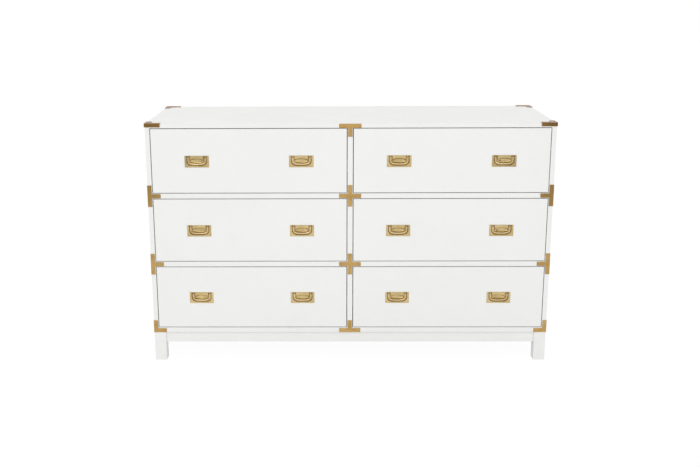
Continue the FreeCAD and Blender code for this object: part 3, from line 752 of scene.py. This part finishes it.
def make_pulls():
    """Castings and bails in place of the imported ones, on the same drawers and bails. Gives the
    names of the nodes that they replace."""
    replaced = []
    casting = cast_plate()
    for row in ROWS:
        for column in COLUMNS:
            drawer = f"{row}_{column}"
            plates = f"{drawer}_pull_plates"
            low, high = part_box(plates)
            height = (low.z + high.z) / 2
            centres = []
            for hand in COLUMNS:
                bail = f"{drawer}_bail_{hand}"
                bail_low, bail_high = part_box(bail)
                across = (bail_low.x + bail_high.x) / 2
                centres.append(Vector((across, low.y, height)))
                pivot = Vector((across, (bail_low.y + bail_high.y) / 2, height))
                piece = new_piece(f"{bail}_forged", bail_mesh(pivot), HIGHLIGHTED_BAIL_BRASS)
                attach(piece, bail)
                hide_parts(bail)
                replaced.append(bail)
            piece = new_piece(f"{plates}_cast", plates_mesh(casting, centres), PLATE_BRASS)
            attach(piece, f"{drawer}_drawer")
            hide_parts(plates)
            replaced.append(plates)
    return replaced


# ---------------------------------------------------------------- studio
WORLD_LIGHT = 0.80  # what the sky gives to surfaces
BACKGROUND = 1.02  # what the camera, metal and glass see
FLOOR_HALF = 90.0
FLOOR_CELLS = 12
FLOOR_PAINT = rgb(0.86, 0.86, 0.86)
FLOOR_WHITE = 1.03  # strength of its glow
FLOOR_GLOW = 0.93  # share of the floor that is plain white to the camera, and keeps no shadow

LAMP_TARGET = (0, 0, 0.5)
LAMPS = (  # name, place, width and height, watts
    ("key", (-1.8, -3.4, 3.2), (2.6, 2.0), 34),
    ("fill", (2.6, -3.2, 2.2), (2.2, 2.2), 16),
)

FLAGS = (  # name, left and right edge, lower edge
    ("flag_left", -1.9, -0.91, 0.25),
    ("flag_right", 0.96, 1.9, 0.13),
)
FLAG_TOP = 1.5
FLAG_Y = -2.0
FLAG_CLOTH = rgb(0.05, 0.05, 0.05)
UNSEEN_BY = ("visible_camera", "visible_diffuse", "visible_transmission", "visible_shadow")


def seen_directly(tree):
    """1 for camera, glossy and transmission rays, and 0 for the rest."""
    path = tree.nodes.new("ShaderNodeLightPath").outputs
    either = maths(tree, "MAXIMUM", path["Is Camera Ray"], path["Is Glossy Ray"])
    return maths(tree, "MAXIMUM", either, path["Is Transmission Ray"])


def make_world():
    world = bpy.data.worlds.new("studio")
    world.use_nodes = True
    tree = world.node_tree
    background = tree.nodes["Background"]
    background.inputs["Color"].default_value = rgb(1, 1, 1)
    strength = ramp(tree, seen_directly(tree), 0, 1, WORLD_LIGHT, BACKGROUND)
    plug(tree, background.inputs["Strength"], strength)
    bpy.context.scene.world = world


def make_floor():
    """A white floor that goes on to the horizon, and still shows a pale shadow under the
    chest."""
    mesh = bmesh.new()
    bmesh.ops.create_grid(mesh, x_segments=FLOOR_CELLS, y_segments=FLOOR_CELLS, size=FLOOR_HALF)
    floor = mesh_object("floor", mesh)
    material = bpy.data.materials.new("floor_white")
    material.use_nodes = True
    tree = material.node_tree
    tree.nodes.remove(tree.nodes["Principled BSDF"])
    paint = add(tree, "ShaderNodeBsdfDiffuse", {"Color": FLOOR_PAINT}).outputs[0]
    white = {"Color": rgb(1, 1, 1), "Strength": FLOOR_WHITE}
    glow = add(tree, "ShaderNodeEmission", white).outputs[0]
    share = maths(tree, "MULTIPLY", seen_directly(tree), FLOOR_GLOW)
    mixed = add(tree, "ShaderNodeMixShader", {0: share, 1: paint, 2: glow}).outputs[0]
    plug(tree, tree.nodes["Material Output"].inputs["Surface"], mixed)
    floor.data.materials.append(material)


def make_lamp(name, place, size, power):
    data = bpy.data.lights.new(name, "AREA")
    data.shape = "RECTANGLE"
    data.size, data.size_y = size
    data.energy = power
    lamp = new_object(name, data)
    aim = (Vector(LAMP_TARGET) - Vector(place)).to_track_quat("-Z", "Y")
    lamp.matrix_world = Matrix.Translation(place) @ aim.to_matrix().to_4x4()


def make_flag(name, left, right, low):
    """A dark card in front of the chest that only metal and gloss reflect."""
    mesh = bmesh.new()
    corners = ((left, low), (right, low), (right, FLAG_TOP), (left, FLAG_TOP))
    mesh.faces.new([mesh.verts.new((x, FLAG_Y, z)) for x, z in corners])
    flag = mesh_object(name, mesh)
    material = bpy.data.materials.new(f"{name}_cloth")
    material.use_nodes = True
    shader = material.node_tree.nodes["Principled BSDF"]
    shader.inputs["Base Color"].default_value = FLAG_CLOTH
    flag.data.materials.append(material)
    for ray in UNSEEN_BY:
        setattr(flag, ray, False)


def make_studio():
    make_world()
    make_floor()
    for lamp in LAMPS:
        make_lamp(*lamp)
    for flag in FLAGS:
        make_flag(*flag)


# ---------------------------------------------------------------- scene
bpy.context.scene.view_settings.view_transform = "Standard"
make_camera()
make_studio()
dress_nodes(make_pulls())
